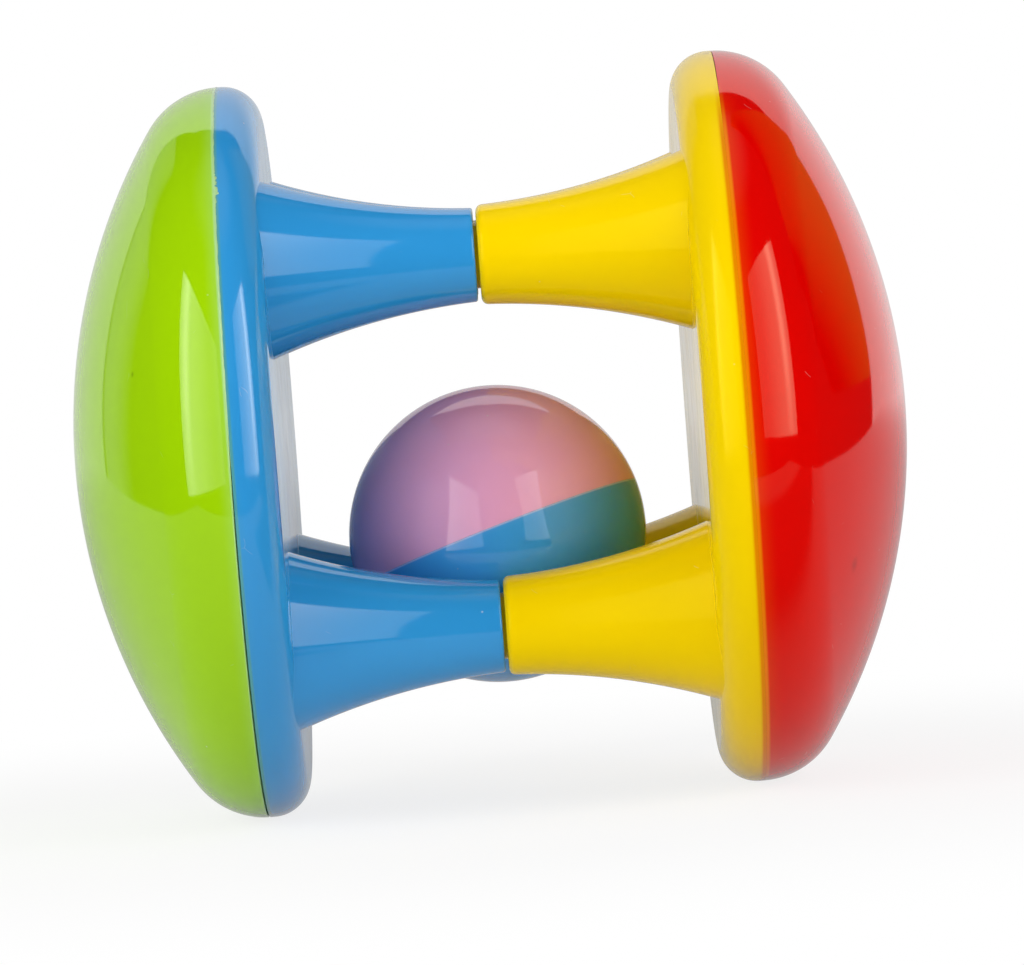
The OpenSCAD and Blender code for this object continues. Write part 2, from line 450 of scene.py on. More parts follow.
mouldedGloss = {
    "ior": 1.5, "specular": 0.5, "glint": (1, 1, 1), "rough": 0.05,
    "cloud": 34, "drift": 0.35,
    "dustRarity": 0.9, "dustShare": 0.6, "dustRough": 0.4, "dustColour": (214, 208, 200),
    "scuffShare": 0.66, "scuffRough": 0.10, "scuffPale": 0.16, "scuffDepth": 0.04,
    "waves": 85, "grain": 0.012, "rippleStrength": 0.14, "rippleDepth": 0.05,
    "faceRough": 0, "faceScale": 160,
    "seamAt": drum["seam"],       # along seamFacing, from the middle of the toy's foot
    "seamTop": (900, 1000),       # the heights between which the painted seam light and shade dies out
}
plasticLooks = {
    "limePlastic": {
        "colour": (153, 202, 2), "shade": (143, 194, 0), "glint": (1, 1, 0.8),
        # the pale seam tint is a painted highlight along the seam's edge
        "seamPaintedColour": (164, 208, 136), "seamCore": 0.42, "seamWidth": 1.9, "seamTail": 0.3, "seamShare": 0.95,
        "seamFacing": (-1, 0, 0),
        "spotAt": (-40.66, -33.54, 55.11), "spotSize": 0.5, "spotShare": 0.5, "spotColour": (74, 104, 6)},
    "skyPlastic": {
        "colour": (44, 143, 206), "shade": (34, 133, 198), "specular": 0.64, "rough": 0.08, "faceRough": 0.04,
        # the greyed teal seam tint is painted shade standing in for the shadowed groove
        "seamPaintedColour": (78, 150, 150), "seamCore": 0.5, "seamWidth": 1.4, "seamTail": 0.2, "seamShare": 0.95,
        "seamFacing": (-1, 0, 0)},
    "lemonPlastic": {
        "colour": (240, 204, 0), "shade": (234, 196, 0), "glint": (1, 1, 0.1), "specular": 0.3,
        "rough": 0.15, "faceRough": -0.07,    # the flat face came out glossier than the legs
        # the golden-brown seam tint is painted shade with light bounced from the red dome
        "seamPaintedColour": (218, 128, 0), "seamCore": 0.7, "seamWidth": 1.6, "seamTail": 0.2, "seamShare": 1.0,
        "seamFacing": (1, 0, 0), "seamTop": (77, 85)},
    "cherryPlastic": {
        "colour": (216, 2, 0), "shade": (206, 0, 0), "glint": (1, 0.8, 0.5), "specular": 0.44,
        # the orange seam tint is painted light bounced from the yellow base onto the red edge
        "seamPaintedColour": (226, 122, 2), "seamCore": 0.58, "seamWidth": 2.4, "seamTail": 0.2, "seamShare": 1.0,
        "seamFacing": (1, 0, 0), "seamTop": (77, 85),
        "spotAt": (41.13, -29.88, 26.79), "spotSize": 1.3, "spotShare": 0.4, "spotColour": (120, 0, 0)},
    "rosePlastic": {
        "colour": (243, 171, 209), "shade": (238, 160, 203), "specular": 0.6},
    "lagoonPlastic": {
        "colour": (66, 161, 228), "shade": (56, 149, 220), "specular": 0.6,
        # the pale lilac seam tint is a painted highlight on the ball's seam edge
        "seamPaintedColour": (190, 200, 236), "seamCore": 0.3, "seamWidth": 1.0, "seamTail": 0.1, "seamShare": 0.8,
        "seamFacing": (-0.2975, 0.1011, 0.9494), "seamAt": 30.376},
    # the fin is real; its pale colour is a painted highlight along the seam
    "flashPaintedHighlightPlastic": {"colour": (168, 207, 146), "shade": (158, 199, 132)},
    "beadPlastic": {"colour": (240, 237, 228), "shade": (226, 222, 210), "rough": 0.18},
}
plastics = {}
for name, look in plasticLooks.items():
    plastics[name] = makePlastic(name, {**mouldedGloss, **look})
print("plastics ready:", len(plastics))


# Domes: crown and shoulder arcs outside, the locating lip inside

dome = {
    "shoulder": 10.1,
    "seamGap": 0.004,
    "lipOuter": 1.85, "lipInner": 2.85,     # in from the drum's radius
    "lipDepth": 2.0, "lipRoot": 2.0,
    "crownSteps": 80, "shoulderSteps": 48, "edgeSteps": 5, "insideSteps": 16,
    "around": 480,
    "openReach": 4.0,                       # how far from the seam the wall gives
    "grooveDepth": 0.25,
}
# rounding of the edge, width of the groove, and the shares of the radius, up from the axis, where it opens
greenSeam = {"edge": 0.1, "opening": 0.18, "openFrom": 0.25, "openTo": -0.35}
redSeam = {"edge": 0.012, "opening": 0.08, "openFrom": 0.84, "openTo": 0.96}


def domeSection(edge):
    radius, seam, shoulder, wall = drum["radius"], drum["seam"], dome["shoulder"], drum["wall"]
    shoulderR = radius - shoulder
    height = drum["apex"] - seam
    crown = (height ** 2 + shoulderR ** 2 - shoulder ** 2) / (2 * (height - shoulder))
    crownZ = drum["apex"] - crown
    meet = math.degrees(math.atan2(seam - crownZ, shoulderR))
    low = seam + dome["seamGap"]
    start = math.degrees(math.asin((low + edge - seam) / shoulder))
    lipOut, lipIn = radius - dome["lipOuter"], radius - dome["lipInner"]
    inside = shoulder - wall
    rootDeg = math.degrees(math.asin(dome["lipRoot"] / inside))

    section = arc(0, crownZ, crown, 90, meet, dome["crownSteps"])
    section += arc(shoulderR, seam, shoulder, meet, start, dome["shoulderSteps"])[1:]
    section += arc(radius - edge, low + edge, edge, 0, -90, dome["edgeSteps"])[1:]
    section += [(radius - dome["grooveDepth"], low, 0, -1)]
    section += plain((lipOut, low), (lipOut, seam - dome["lipDepth"]), (lipIn, seam - dome["lipDepth"]),
                     (lipIn, seam + dome["lipRoot"]))
    section += arc(shoulderR, seam, inside, rootDeg, meet, dome["insideSteps"], hollow=True)
    section += arc(0, crownZ, crown - wall, meet, 90, dome["insideSteps"], hollow=True)[1:]
    return closeEnds(section)


def easeSeam(skin, end, seam):  # one stretch of the seam opens to a shallow groove
    for vert in skin.verts:
        fromSeam = abs(vert.co.x) / mm - drum["seam"]
        near = 1 - softStep(fromSeam, 0, dome["openReach"])
        across = math.hypot(vert.co.y / mm, vert.co.z / mm - drum["axisZ"])
        near *= softStep(across, drum["radius"] - dome["grooveDepth"], drum["radius"] - seam["edge"])
        if fromSeam > 0 and near > 0:
            up = (vert.co.z / mm - drum["axisZ"]) / drum["radius"]
            vert.co.x += end * seam["opening"] * mm * near * softStep(up, seam["openFrom"], seam["openTo"])


def makeDome(name, end, node, material, seam):
    skin = newSkin()
    lathe(skin, drumPlace(end), domeSection(seam["edge"]), dome["around"])
    easeSeam(skin, end, seam)
    finishSkin(skin, name, "frame", node, material)


makeDome("green_cap", drum["greenEnd"], "green_dome", plastics["limePlastic"], greenSeam)
makeDome("red_cap", drum["redEnd"], "red_dome", plastics["cherryPlastic"], redSeam)


# Flash: the thin ragged fin that the mould left on the green seam

flash = {
    "from": -75, "to": 90,             # degrees from the top, minus is the rear
    "steps": 1400, "taper": 20, "least": 0.02,    # the ends keep this share of the section
    "root": 0.22, "rootLeast": 0.1, "crest": 0.5,
    "proud": 0.03, "thick": 0.06, "tuck": 0.02,
    "over": 0.06, "overLeast": 0.004, "ragged": 0.06,      # how far it laps over the blue rim
    "burrAt": 43.4, "burrReach": 4.6, "burr": 0.34, "burrLevel": 0.45, "burrFine": 0.8,
    "spurAt": 44.8, "spurReach": 0.4, "spur": 0.42,
    "ragNoise": (0.9, 3.1, 0.4), "burrNoise": (1.7, 0.2, 7.7), "fineNoise": (5.2, 1.6, 2.2),   # waves, place
}


def noiseAlong(angle, waves, y, z):
    return noise.noise((angle * waves, y, z))


def peakAt(angle, at, reach):
    return max(0, 1 - abs(angle - at) / reach)


def flashLap(angle):
    ends = softStep(angle, flash["from"], flash["from"] + flash["taper"])
    ends *= 1 - softStep(angle, flash["to"] - flash["taper"], flash["to"])
    ends = max(flash["least"], ends)
    rag = flash["ragged"] * noiseAlong(angle, *flash["ragNoise"])
    burr = flash["burr"] * peakAt(angle, flash["burrAt"], flash["burrReach"])
    burr *= max(0, flash["burrLevel"] + noiseAlong(angle, *flash["burrNoise"])
                + flash["burrFine"] * noiseAlong(angle, *flash["fineNoise"]))
    burr += flash["spur"] * peakAt(angle, flash["spurAt"], flash["spurReach"])
    return max(flash["overLeast"], (flash["over"] + rag + burr) * ends), ends


def makeFlash():
    skin = newSkin()
    rows = []
    for step in range(flash["steps"] + 1):
        angle = flash["from"] + (flash["to"] - flash["from"]) * step / flash["steps"]
        lap, ends = flashLap(angle)
        c, s = math.cos(math.radians(angle)), math.sin(math.radians(angle))
        top = drum["radius"] + flash["proud"] * ends
        under = drum["radius"] + (flash["proud"] - flash["thick"]) * ends
        root = flash["root"] * (flash["rootLeast"] + (1 - flash["rootLeast"]) * ends)
        row = []
        corners = ((under - flash["tuck"], root), (top, root * flash["crest"]), (top, -lap), (under, -lap))
        for r, along in corners:
            where = Vector((-drum["seam"] - along, -r * s, drum["axisZ"] + r * c))
            row.append(addPoint(skin, Matrix.Identity(4), where, (0, 0, 0)))
        rows.append(row)
    joinAll(skin, rows)
    skin.faces.new(rows[0])
    skin.faces.new(rows[-1])
    finishSkin(skin, "green_flash", "frame", None, plastics["flashPaintedHighlightPlastic"])


makeFlash()


# Bases: a rounded pan with four trumpet legs that run out of its face

pan = {
    "depth": 5.1,            # inner face to seam
    "rimRound": 4.6,
    "edgeRound": 0.015,
    "floorRound": 1.0,
    "rimSteps": 18, "rimOpen": 66,   # the rim's last degrees are turned, the rest is cut round the legs
    "turnedSteps": 10, "edgeSteps": 4, "floorSteps": 5,
    "legClear": 0.45,        # no points on the rim nearer to a leg
}
leg = {
    "inset": 13.17,          # drum edge to leg axis, along the radius
    "rootR": 10.5,
    "flare": 79,
    "wall": 1.8,
    "fillet": 0.08, "filletSteps": 3, "meetTurns": 12,
    "around": 208, "lengthSteps": 44, "tipSteps": 8, "coreSteps": 16,
    "spigotR": 3.9, "spigotLength": -yellowLow.x, "spigotWall": 1.6, "spigotEdge": 0.5, "spigotSteps": 4,
    "socketClear": 0.04, "socketDepth": 8.0, "mouthEdge": 0.2, "mouthSteps": 3,
}
blueLegs = {"tip": -blueHigh.x, "tipR": 5.45, "tipRound": 0.32, "coreFloor": 9.6}
yellowLegs = {"tip": -blueHigh.x, "tipR": 5.8, "tipRound": 0.8, "coreFloor": 2.0}
faceZ = drum["seam"] - pan["depth"]
legOffset = (drum["radius"] - leg["inset"]) / math.sqrt(2)


def rimHeight(rho):
    over = rho - (drum["radius"] - pan["rimRound"])
    if over <= 0:
        return faceZ
    return faceZ + pan["rimRound"] - math.sqrt(pan["rimRound"] ** 2 - over ** 2)


def rimFacing(x, y):
    rho = math.hypot(x, y)
    over = max(0, rho - (drum["radius"] - pan["rimRound"])) / pan["rimRound"]
    return (over * x / rho if rho else 0, over * y / rho if rho else 0, -math.sqrt(1 - over ** 2))


def flareCentre(legs):
    rise, spread = faceZ - legs["tip"], leg["rootR"] - legs["tipR"]
    chord = math.hypot(rise, spread)
    reach = math.sqrt(leg["flare"] ** 2 - chord ** 2 / 4)
    return ((legs["tipR"] + leg["rootR"]) / 2 + reach * rise / chord,
            (legs["tip"] + faceZ) / 2 - reach * spread / chord)


def legRadius(legs, z, inset=0):
    centreR, centreZ = flareCentre(legs)
    return centreR - math.sqrt((leg["flare"] + inset) ** 2 - (z - centreZ) ** 2)


def legFacing(legs, z):
    centreR, centreZ = flareCentre(legs)
    return ((centreR - legRadius(legs, z)) / leg["flare"], (centreZ - z) / leg["flare"])


def rootMeeting(legs, axis, c, s):  # where a leg's side runs into the pan, straight out from the leg axis
    reach = leg["rootR"]
    for turn in range(leg["meetTurns"]):
        z = rimHeight(math.hypot(axis[0] + reach * c, axis[1] + reach * s))
        reach = legRadius(legs, z)
    return reach, z


def addLegSide(skin, place, legs, axis):
    count = leg["around"]
    rings = [[] for ring in range(leg["filletSteps"] + leg["lengthSteps"] + 1)]
    for step in range(count):
        c, s = turned(step, count)
        reach, z = rootMeeting(legs, axis, c, s)
        outR = reach + leg["fillet"]
        outX, outY = axis[0] + outR * c, axis[1] + outR * s
        onPan = Vector((outX, outY, rimHeight(math.hypot(outX, outY))))
        corner = Vector((axis[0] + reach * c, axis[1] + reach * s, z))
        lowZ = z - leg["fillet"]
        lowR = legRadius(legs, lowZ)
        onLeg = Vector((axis[0] + lowR * c, axis[1] + lowR * s, lowZ))
        nr, nz = legFacing(legs, lowZ)
        facePan, faceLeg = Vector(rimFacing(outX, outY)), Vector((nr * c, nr * s, nz))
        for ring in range(leg["filletSteps"]):
            t = ring / leg["filletSteps"]
            where = (1 - t) ** 2 * onPan + 2 * t * (1 - t) * corner + t ** 2 * onLeg
            rings[ring].append(addPoint(skin, place, where, facePan.lerp(faceLeg, t).normalized()))
        endZ = legs["tip"] + legs["tipRound"]
        for ring in range(leg["lengthSteps"] + 1):
            z = lowZ + (endZ - lowZ) * ring / leg["lengthSteps"]
            r = legRadius(legs, z)
            nr, nz = legFacing(legs, z)
            where = (axis[0] + r * c, axis[1] + r * s, z)
            rings[leg["filletSteps"] + ring].append(addPoint(skin, place, where, (nr * c, nr * s, nz)))
    joinAll(skin, rings)
    return rings[0], rings[-1]


def tipSection(legs):
    tipRound, tip = legs["tipRound"], legs["tip"]
    sideR = legRadius(legs, tip + tipRound)
    return arc(sideR - tipRound, tip + tipRound, tipRound, 0, -90, leg["tipSteps"])[1:]


def socketSection(legs):
    bore, edge = leg["spigotR"] + leg["socketClear"], leg["mouthEdge"]
    mouth = arc(bore + edge, legs["tip"] + edge, edge, 270, 180, leg["mouthSteps"])
    return mouth + plain((bore, leg["socketDepth"]), (0, leg["socketDepth"]))


def spigotSection(legs):
    r, edge, end = leg["spigotR"], leg["spigotEdge"], -leg["spigotLength"]
    nose = arc(r - edge, end + edge, edge, 0, -90, leg["spigotSteps"])
    return [(r, legs["tip"], 1, 0)] + nose + [(0, end, 0, -1)]


def coreSection(legs, floorZ, boreR, boreEnd):
    top = faceZ + drum["wall"]
    points = []
    for step in range(leg["coreSteps"] + 1):
        z = top + (floorZ - top) * step / leg["coreSteps"]
        points.append((legRadius(legs, z, leg["wall"]), z, 0, 0))
    if boreR:
        return points + plain((boreR, floorZ), (boreR, boreEnd), (0, boreEnd))
    return points + plain((0, floorZ))


def insideLoop(point, loop):
    inside = False
    for first, second in zip(loop, loop[1:] + loop[:1]):
        if (first.y > point.y) != (second.y > point.y):
            if point.x < first.x + (point.y - first.y) / (second.y - first.y) * (second.x - first.x):
                inside = not inside
    return inside


def insideAny(point, limits):
    return any((point - centre).length < far and insideLoop(point, loop) for centre, far, loop in limits)


def fillFace(skin, place, outer, holes, inner):
    # the stretch between an outer ring and the leg openings, with rings of points kept in between
    verts = list(outer) + [vert for hole in holes for vert in hole] + list(inner)
    back = place.inverted()
    flat = [((back @ vert.co) / mm).to_2d() for vert in verts]
    edges = []
    first = 0
    for loop in [outer] + holes:
        edges += [(first + step, first + (step + 1) % len(loop)) for step in range(len(loop))]
        first += len(loop)
    places, _, triangles, came, _, _ = geometry.delaunay_2d_cdt(flat, edges, [], 0, noDistance)
    owner = [verts[source[0]] for source in came]
    limits = []
    for hole in holes:
        points = [((back @ vert.co) / mm).to_2d() for vert in hole]
        centre = sum(points, Vector((0, 0))) / len(points)
        limits.append((centre, max((point - centre).length for point in points), points))
    for corners in triangles:
        middle = sum((places[corner] for corner in corners), Vector((0, 0))) / 3
        if not insideAny(middle, limits):
            skin.faces.new([owner[corner] for corner in corners])


def rimPoints(skin, place, axes):  # rings on the rim's rounding, left out where a leg stands
    loose = []
    centreR, centreZ = drum["radius"] - pan["rimRound"], faceZ + pan["rimRound"]
    clear = leg["rootR"] + leg["fillet"] + pan["legClear"]
    for step in range(pan["rimSteps"]):
        angle = math.radians(pan["rimOpen"] * step / pan["rimSteps"])
        rho, z = centreR + pan["rimRound"] * math.sin(angle), centreZ - pan["rimRound"] * math.cos(angle)
        for turn in range(drum["around"]):
            c, s = turned(turn, drum["around"])
            x, y = rho * c, rho * s
            if min(math.hypot(x - ax, y - ay) for ax, ay in axes) > clear:
                loose.append(addPoint(skin, place, (x, y, z), rimFacing(x, y)))
    return loose


def panSection():  # outside of the rim, over the seam edge and down the inner wall to the pan's floor
    radius, rimRound, floorRound, edge = drum["radius"], pan["rimRound"], pan["floorRound"], pan["edgeRound"]
    floorZ, floorR = faceZ + drum["wall"], radius - drum["wall"]
    section = arc(radius - rimRound, faceZ + rimRound, rimRound, pan["rimOpen"] - 90, 0, pan["turnedSteps"])
    section += arc(radius - edge, drum["seam"] - edge, edge, 0, 90, pan["edgeSteps"])
    section += plain((floorR, drum["seam"]))
    return section + arc(floorR - floorRound, floorZ + floorRound, floorRound, 0, -90, pan["floorSteps"],
                         hollow=True)


def makeBase(name, end, node, material, legs, plug):
    skin, place = newSkin(), drumPlace(end)
    axes = [(ax * legOffset, ay * legOffset) for ax in (-1, 1) for ay in (-1, 1)]
    shell = lathe(skin, place, panSection(), drum["around"])
    faceHoles, floorHoles = [], []
    for axis in axes:
        root, rim = addLegSide(skin, place, legs, axis)
        faceHoles.append(root)
        stand = place @ Matrix.Translation((axis[0] * mm, axis[1] * mm, 0))
        ends = spigotSection(legs) if plug else socketSection(legs)
        lathe(skin, stand, tipSection(legs) + ends, leg["around"], start=rim)
        boreR = leg["spigotR"] - leg["spigotWall"] if plug else 0
        core = coreSection(legs, legs["coreFloor"], boreR, leg["spigotWall"] - leg["spigotLength"])
        floorHoles.append(lathe(skin, stand, core, leg["around"])[0])
    fillFace(skin, place, shell[0], faceHoles, rimPoints(skin, place, axes))
    fillFace(skin, place, shell[-1], floorHoles, [])
    finishSkin(skin, name, "frame", node, material)


makeBase("blue_cup", drum["greenEnd"], "blue_base", plastics["skyPlastic"],
         blueLegs, plug=False)
makeBase("yellow_cup", drum["redEnd"], "yellow_base", plastics["lemonPlastic"],
         yellowLegs, plug=True)


# Ball: two halves that lap inside each other at a sloping seam

ball = {
    "radius": (ballHigh.x - ballLow.x) / 2,
    "centreZ": (ballHigh.z + ballLow.z) / 2,
    "wall": 1.8,
    "pinkEdge": 0.02, "blueEdge": 0.03, "edgeSteps": 4,
    "lapLength": 1.5, "lapThick": 0.8, "lapClear": 0.05, "seamGap": 0.008,
    "tilt": -17.4, "lean": -5.8,     # seam slope along the drum axis, and from front to rear
    "around": 192, "steps": 64,
    "nibAt": (13.78, -10.44, 36.61), "nibR": 0.3, "nibHeight": 0.1,   # what the gate left on the blue half
    "nibSteps": 8, "nibAround": 24,
}


def ballPlace():
    tilt = Matrix.Rotation(math.radians(ball["tilt"]), 4, "Y")
    lean = Matrix.Rotation(math.radians(ball["lean"]), 4, "X")
    return Matrix.Translation((0, 0, ball["centreZ"] * mm)) @ (tilt @ lean)


def pinkSection():
    radius, edge, inner = ball["radius"], ball["pinkEdge"], ball["radius"] - ball["wall"]
    lapR = inner + ball["lapThick"]
    start = math.degrees(math.asin(edge / radius))
    section = arc(0, 0, radius, 90, start, ball["steps"])
    section += arc(radius - edge, edge, edge, 0, -90, ball["edgeSteps"])[1:]
    section += plain((lapR, 0), (lapR, -ball["lapLength"]), (inner, -ball["lapLength"]))
    section += arc(0, 0, inner, 0, 90, ball["steps"], hollow=True)
    return closeEnds(section)


def blueSection():
    radius, edge, inner = ball["radius"], ball["blueEdge"], ball["radius"] - ball["wall"]
    gap, clear = ball["seamGap"], ball["lapClear"]
    lapR, lapEnd = inner + ball["lapThick"] + clear, -ball["lapLength"] - clear
    start = -math.degrees(math.asin((edge + gap) / radius))
    insideStart = math.degrees(math.asin(lapEnd / inner))
    section = arc(0, 0, radius, -90, start, ball["steps"])
    section += arc(radius - edge, -edge - gap, edge, 0, 90, ball["edgeSteps"])[1:]
    section += plain((lapR, -gap), (lapR, lapEnd))
    section += arc(0, 0, inner, insideStart, -90, ball["steps"], hollow=True)
    return closeEnds(section)


def addNib(skin):
    centre = Vector((0, 0, ball["centreZ"]))
    out = (Vector(ball["nibAt"]) - centre).normalized()
    base = centre + out * (ball["radius"] - ball["nibHeight"])
    place = Matrix.Translation(base * mm) @ out.to_track_quat("Z", "Y").to_matrix().to_4x4()
    section = []
    for step in range(ball["nibSteps"] + 1):
        angle = math.radians(90 - 180 * step / ball["nibSteps"])
        c, s = max(0, math.cos(angle)), math.sin(angle)
        slope = Vector((c * ball["nibHeight"], s * ball["nibR"])).normalized()
        section.append((ball["nibR"] * c, 2 * ball["nibHeight"] * s, slope.x, slope.y))
    lathe(skin, place, section, ball["nibAround"])


def makeBallHalf(name, section, node, material, nib=False):
    skin = newSkin()
    lathe(skin, ballPlace(), section, ball["around"])
    if nib:
        addNib(skin)
    finishSkin(skin, name, "ball", node, material)


makeBallHalf("pink_half", pinkSection(), "ball_pink_half", plastics["rosePlastic"])
makeBallHalf("blue_half", blueSection(), "ball_blue_half", plastics["lagoonPlastic"],
             nib=True)


# Beads keep their shape from the frame and take the bead finish

for node in ("ball_beads", "green_drum_beads", "red_drum_beads"):
    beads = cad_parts[node]
    beads.data.materials.clear()
    beads.data.materials.append(plastics["beadPlastic"])
print("beads finished")


# Stage: white table and backdrop, two soft boxes in front, a dim room

stage = {
    "floorSide": 1.0, "floorFront": -0.7, "floorBack": 1.7,
    "floorColour": 0.9, "floorWhite": 0.82,
    "shadeFrom": 0.06, "shadeTo": 0.17,      # the floor turns plain white away from the toy
    "tableFront": -0.165, "tableHalf": 0.285, "tableSpread": 0.55,   # the part that shows in the gloss
    "tableMirrored": 0.5, "tableFarMirrored": 0.7, "farFrom": 0.3, "farTo": 1.5,
    "sideFar": (0.3, 1.7),                   # the right side's glow on the table, from near to the backdrop
    "paintedShadowSide": (0.022, 0.034), "paintedShadowNear": (-0.06, -0.028), "paintedShadowFar": (-0.13, -0.1),   # a painted shadow of the toy in the table's gloss, before the red drum
    "paintedShadowTo": 0.15,
    "fill": 0.54, "room": 0.025, "ceiling": 0.4, "ceilingFrom": 0.9,
    "softBoxAway": 1.0, "softBoxGrid": 16,
    "hotBase": 0.3, "hotFull": 0.5,          # the hot strip's share at its foot, and where it is whole
}
# sheets behind the toy, with their outline in x and z: brightness in the gloss from the floor up to glowTop,
# tint, the stretch of x over which it dies out (moving out by fadeLean with height), the stretch of height
# over which it does (moving up by topLean with x), what is added low down on the right, and its share as a
# light
plainSheet = {
    "tint": (1, 1, 1), "fadeAt": (20, 21), "fadeLean": 0, "topAt": (20, 21), "topLean": 0,
    "sideGlow": 0, "sideAt": (0.1, 0.65), "sideTop": (0.3, 1.2), "lights": 1,
}
backSheets = {
    "backdrop": {
        "outline": ((-1.6, -0.4), (1.62, -0.4), (1.62, -0.1), (1.5, 0.1), (1.42, 0.3), (1.3, 0.5),
                    (1.26, 0.66), (1.38, 1.0), (1.5, 1.31), (1.54, 1.65), (1.49, 1.93), (1.25, 2.1),
                    (0.8, 2.42), (0, 2.75), (-0.7, 2.35), (-0.98, 1.65)),
        "glow": (0.68, 1.28), "glowTop": 2.75, "sideGlow": 0.3},
    "sideLeft": {
        "outline": ((-2.45, -0.22), (-1.6, -0.22), (-0.98, 1.65), (-1.6, 2.4), (-2.06, 2.7), (-2.25, 2.1),
                    (-2.15, 1.1)),
        "glow": (0.4, 0.4), "glowTop": 2.7, "fadeAt": (-1.7, -2.5)},
    "sideRight": {
        "outline": ((1.52, 0.07), (3.0, 0.07), (3.4, 0.5), (5, 1.3), (12, 4.6), (12, 11.5), (4, 8), (1, 6.5),
                    (0.8, 4.6), (1.05, 3.64), (1.33, 2.98), (1.44, 2.31), (1.49, 1.93), (1.54, 1.65),
                    (1.5, 1.31), (1.38, 1.0), (1.26, 0.66), (1.3, 0.5), (1.42, 0.3)),
        "glow": (0.6, 0.45), "glowTop": 4, "tint": (0.6, 0.5, 0.05),
        "fadeAt": (0.6, 2.6), "fadeLean": 1.48, "topAt": (1.6, 4.8), "topLean": 0.6, "lights": 0},
}
# corners as (azimuth, elevation) seen from the toy: outer bottom, inner bottom, inner top, outer top
softBoxes = {
    "softBoxLeft": {
        "corners": ((-63, -8), (-11, -7), (-14, 34), (-71, 46)),
        "glow": 1.16, "wash": 2.0, "hot": 2.9, "hotAt": 0.16, "hotWidth": 0.14, "washWidth": 0.75},
    "softBoxRight": {
        "corners": ((66, -4), (21, -5), (20, 43), (68, 43)),
        "glow": 1.16, "wash": 2.0, "hot": 3.4, "hotAt": 0.2, "hotWidth": 0.14, "washWidth": 0.75},
}
toyCentre = Vector((0, 0, drum["axisZ"] * mm))
white = (1, 1, 1, 1)


def addStage(name, mesh, material):
    mesh.materials.append(material)
    sheet = bpy.data.objects.new(name, mesh)
    bpy.context.scene.collection.objects.link(sheet)
    return sheet


def addSheet(name, corners, material):
    mesh = bpy.data.meshes.new(name)
    mesh.from_pydata(corners, [], [tuple(range(len(corners)))])
    addStage(name, mesh, material)


def seenPlainly(tree, ray):
    return calc(tree, "MAXIMUM", ray["Is Camera Ray"], ray["Is Transmission Ray"])


def makeFloorMaterial():
    material, tree, surface = newMaterial("whiteFloor")
    lit = addNode(tree, "ShaderNodeBsdfDiffuse")
    lit.inputs["Color"].default_value = (stage["floorColour"],) * 3 + (1,)
    here = coordinates(tree, "Object")
    away = calcVector(tree, "LENGTH", "Value", here)
    place = splitXyz(tree, here)
    x, y = place["X"], place["Y"]

    # in the gloss only the table shows, wider towards the back
    front = calc(tree, "GREATER_THAN", y, stage["tableFront"])
    half = calc(tree, "MULTIPLY_ADD", y, stage["tableSpread"], stage["tableHalf"])
    side = calc(tree, "LESS_THAN", calc(tree, "ABSOLUTE", x), half)
    table = calc(tree, "MULTIPLY", front, side)
    bright = fade(tree, away, stage["farFrom"], stage["farTo"],
                  stage["tableMirrored"], stage["tableFarMirrored"])
    low = fade(tree, x, *plainSheet["sideAt"], 0, backSheets["backdrop"]["sideGlow"])
    low = calc(tree, "MULTIPLY", low, fade(tree, y, *stage["sideFar"], 0, 1))
    bright = calc(tree, "ADD", bright, low)
    # painted shadow: the table's gloss is darkened before the red drum, where the toy's shadow falls
    dim = fade(tree, x, *stage["paintedShadowSide"], 0, 1)
    dim = calc(tree, "MULTIPLY", dim, fade(tree, y, *stage["paintedShadowNear"], 1, 0))
    dim = calc(tree, "MULTIPLY", dim, fade(tree, y, *stage["paintedShadowFar"], 0, 1))
    bright = calc(tree, "MULTIPLY", bright, fade(tree, dim, 0, 1, 1, stage["paintedShadowTo"]))
    mirrored = addNode(tree, "ShaderNodeEmission")
    feed(tree, mirrored.inputs["Strength"], bright)
    inGloss = mixShader(tree, table, addNode(tree, "ShaderNodeBsdfTransparent"), mirrored)

    ray = addNode(tree, "ShaderNodeLightPath").outputs
    share = fade(tree, away, stage["shadeFrom"], stage["shadeTo"], stage["floorWhite"], 1)
    share = calc(tree, "MULTIPLY", seenPlainly(tree, ray), share)
    forEye = mixShader(tree, share, lit, addNode(tree, "ShaderNodeEmission"))
    forGloss = mixShader(tree, ray["Is Glossy Ray"], forEye, inGloss)
    feed(tree, surface, forGloss.outputs[0])
    return material


def makeBackMaterial(name, sheet):
    material, tree, surface = newMaterial(name)
    place = splitXyz(tree, coordinates(tree, "Object"))
    x, z = place["X"], place["Z"]
    lit = fade(tree, z, 0, sheet["glowTop"], *sheet["glow"])
    across = calc(tree, "SUBTRACT", x, calc(tree, "MULTIPLY", z, sheet["fadeLean"]))
    lit = calc(tree, "MULTIPLY", lit, fade(tree, across, *sheet["fadeAt"], 1, 0))
    up = calc(tree, "SUBTRACT", z, calc(tree, "MULTIPLY", x, sheet["topLean"]))
    lit = calc(tree, "MULTIPLY", lit, fade(tree, up, *sheet["topAt"], 1, 0))
    low = fade(tree, z, *sheet["sideTop"], sheet["sideGlow"], 0)
    lit = calc(tree, "ADD", lit, calc(tree, "MULTIPLY", low, fade(tree, x, *sheet["sideAt"], 0, 1)))
    ray = addNode(tree, "ShaderNodeLightPath").outputs
    lit = calc(tree, "MULTIPLY", lit, fade(tree, ray["Is Glossy Ray"], 0, 1, sheet["lights"], 1))
    seen = seenPlainly(tree, ray)
    glow = addNode(tree, "ShaderNodeEmission")
    feed(tree, glow.inputs["Color"], mixColour(tree, seen, sheet["tint"] + (1,), white))
    feed(tree, glow.inputs["Strength"], fade(tree, seen, 0, 1, lit, 1))
    feed(tree, surface, glow.outputs[0])
    return material


